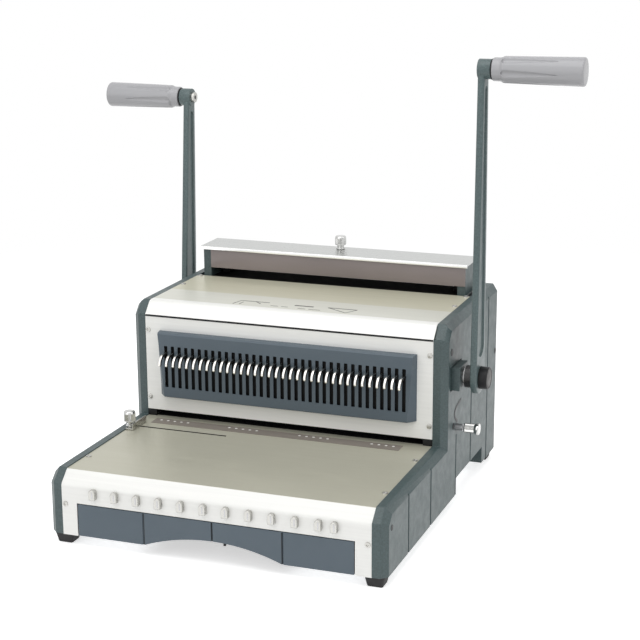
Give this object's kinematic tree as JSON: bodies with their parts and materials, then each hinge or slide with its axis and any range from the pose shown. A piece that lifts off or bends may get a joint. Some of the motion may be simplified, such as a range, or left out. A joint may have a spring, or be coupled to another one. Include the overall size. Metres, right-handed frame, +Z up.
{
  "type": "comb binding machine",
  "caption": "Desktop punch-and-bind machine with two levers: a punching tower with a hook comb over a paper tray and chip drawer, and a wire closer behind a smoked window.",
  "frame": {"origin": "centre of the machine's outline on the surface that the feet stand on", "axes": "+X to the machine's right, towards the punching lever; -Y to the front, where the tray is; +Z up"},
  "size_m": [0.656, 0.456, 0.5123],
  "materials": {
    "panel_plastic": "satin moulded plastic",
    "white_sheet": "smooth powder coat",
    "beige_sheet": "fine textured powder coat",
    "slate_plastic": "satin moulded plastic",
    "ruler_print": "printed strip",
    "bright_steel": "polished",
    "nickel": "satin nickel",
    "tool_steel": "ground steel",
    "dark_steel": "black oxide",
    "galvanised": "zinc plated",
    "arm_paint": "hammered paint",
    "grip_plastic": "semi-gloss",
    "smoked_window": "smoked clear plastic",
    "foot_rubber": "matt",
    "dark_plastic": "matt"
  },
  "bodies": {
    "case": {"base_pan": "galvanised", "feet": "foot_rubber", "left_side_panel": "panel_plastic", "right_side_panel": "panel_plastic", "front_fascia": "white_sheet", "tray": "beige_sheet", "ruler_strip": "ruler_print", "rear_cover": "white_sheet", "top_cover": "beige_sheet", "left_frame_plate": "galvanised", "right_frame_plate": "galvanised", "die_plate": "tool_steel", "guide_block": "tool_steel", "return_springs": "tool_steel", "front_plate": "white_sheet", "slotted_panel": "slate_plastic", "hook_comb": "tool_steel", "closer_top_plate": "bright_steel", "closer_end_posts": "panel_plastic", "closer_window": "smoked_window", "closer_back_cover": "white_sheet", "closer_anvil": "dark_steel", "selector_rails": "galvanised"},
    "right_lever": {"punch_shaft": "tool_steel", "right_arm": "arm_paint", "right_grip_axle": "bright_steel"},
    "right_grip": {"right_grip": "grip_plastic"},
    "left_lever": {"closer_shaft": "tool_steel", "left_arm": "arm_paint", "left_grip_axle": "bright_steel"},
    "left_grip": {"left_grip": "grip_plastic"},
    "punch": {"punch_beam": "dark_steel", "punch_pins": "tool_steel"},
    "closer": {"closer_bar": "dark_steel"},
    "closer_knob": {"closer_knob": "bright_steel"},
    "paper_guide": {"paper_guide": "nickel"},
    "guide_thumbscrew": {"guide_thumbscrew": "bright_steel"},
    "drawer": {"drawer_front": "slate_plastic", "chip_drawer": "dark_plastic"},
    "margin": {"margin_shaft": "tool_steel", "margin_knob": "bright_steel"},
    "margin_stop": {"margin_stop": "galvanised", "stop_prongs": "galvanised"},
    "selector_01": {"selector_01": "nickel"},
    "selector_02": {"selector_02": "nickel"},
    "selector_03": {"selector_03": "nickel"},
    "selector_04": {"selector_04": "nickel"},
    "selector_05": {"selector_05": "nickel"},
    "selector_06": {"selector_06": "nickel"},
    "selector_07": {"selector_07": "nickel"},
    "selector_08": {"selector_08": "nickel"},
    "selector_09": {"selector_09": "nickel"},
    "selector_10": {"selector_10": "nickel"},
    "selector_11": {"selector_11": "nickel"},
    "selector_12": {"selector_12": "nickel"}
  },
  "joints": [
    {"name": "right_lever_swing", "type": "hinge", "parent": "case", "child": "right_lever", "pos_m": [0, 0.0248, 0.156], "axis": [1, 0, 0], "range_deg": [0, 75], "stiffness_Nm_per_rad": 1.5, "springref_deg": -34.38},
    {"name": "punch_stroke", "type": "slide", "parent": "case", "child": "punch", "axis": [0, 0, -1], "range_m": [0, 0.01583], "deforming": ["return_springs"]},
    {"name": "right_grip_turn", "type": "hinge", "parent": "right_lever", "child": "right_grip", "pos_m": [0.276, 0.0248, 0.495], "axis": [1, 0, 0], "continuous": true},
    {"name": "left_lever_swing", "type": "hinge", "parent": "case", "child": "left_lever", "pos_m": [0, 0.1898, 0.0906], "axis": [1, 0, 0], "range_deg": [0, 75], "stiffness_Nm_per_rad": 1.5, "springref_deg": -34.38},
    {"name": "closer_stroke", "type": "slide", "parent": "case", "child": "closer", "axis": [0, 0, -1], "range_m": [0, 0.01339]},
    {"name": "left_grip_turn", "type": "hinge", "parent": "left_lever", "child": "left_grip", "pos_m": [-0.276, 0.21049, 0.42897], "axis": [1, 0, 0], "continuous": true},
    {"name": "closer_knob_turn", "type": "hinge", "parent": "case", "child": "closer_knob", "pos_m": [0, 0.1763, 0.2555], "axis": [0, 0, 1], "range_deg": [-180, 180]},
    {"name": "paper_guide_slide", "type": "slide", "parent": "case", "child": "paper_guide", "axis": [1, 0, 0], "range_m": [0, 0.105]},
    {"name": "guide_thumbscrew_turn", "type": "hinge", "parent": "paper_guide", "child": "guide_thumbscrew", "pos_m": [-0.1707, -0.0662, 0.0843], "axis": [0, 0, 1], "range_deg": [-180, 180]},
    {"name": "drawer_slide", "type": "slide", "parent": "case", "child": "drawer", "axis": [0, -1, 0], "range_m": [0, 0.18]},
    {"name": "margin_knob_turn", "type": "hinge", "parent": "case", "child": "margin", "pos_m": [0, 0.0283, 0.0945], "axis": [1, 0, 0], "range_deg": [-40, 40]},
    {"name": "margin_stop_slide", "type": "slide", "parent": "case", "child": "margin_stop", "axis": [0, 1, 0], "range_m": [-0.00193, 0.00193]},
    {"name": "selector_01_pull", "type": "slide", "parent": "case", "child": "selector_01", "axis": [0, -1, 0], "range_m": [0, 0.008]},
    {"name": "selector_02_pull", "type": "slide", "parent": "case", "child": "selector_02", "axis": [0, -1, 0], "range_m": [0, 0.008]},
    {"name": "selector_03_pull", "type": "slide", "parent": "case", "child": "selector_03", "axis": [0, -1, 0], "range_m": [0, 0.008]},
    {"name": "selector_04_pull", "type": "slide", "parent": "case", "child": "selector_04", "axis": [0, -1, 0], "range_m": [0, 0.008]},
    {"name": "selector_05_pull", "type": "slide", "parent": "case", "child": "selector_05", "axis": [0, -1, 0], "range_m": [0, 0.008]},
    {"name": "selector_06_pull", "type": "slide", "parent": "case", "child": "selector_06", "axis": [0, -1, 0], "range_m": [0, 0.008]},
    {"name": "selector_07_pull", "type": "slide", "parent": "case", "child": "selector_07", "axis": [0, -1, 0], "range_m": [0, 0.008]},
    {"name": "selector_08_pull", "type": "slide", "parent": "case", "child": "selector_08", "axis": [0, -1, 0], "range_m": [0, 0.008]},
    {"name": "selector_09_pull", "type": "slide", "parent": "case", "child": "selector_09", "axis": [0, -1, 0], "range_m": [0, 0.008]},
    {"name": "selector_10_pull", "type": "slide", "parent": "case", "child": "selector_10", "axis": [0, -1, 0], "range_m": [0, 0.008]},
    {"name": "selector_11_pull", "type": "slide", "parent": "case", "child": "selector_11", "axis": [0, -1, 0], "range_m": [0, 0.008]},
    {"name": "selector_12_pull", "type": "slide", "parent": "case", "child": "selector_12", "axis": [0, -1, 0], "range_m": [0, 0.008]}
  ],
  "couplings": [
    {"joint": "punch_stroke", "follows": "right_lever_swing", "m_per_rad": 0.012092},
    {"joint": "closer_stroke", "follows": "left_lever_swing", "m_per_rad": 0.010231},
    {"joint": "margin_stop_slide", "follows": "margin_knob_turn", "m_per_rad": -0.0027622}
  ]
}
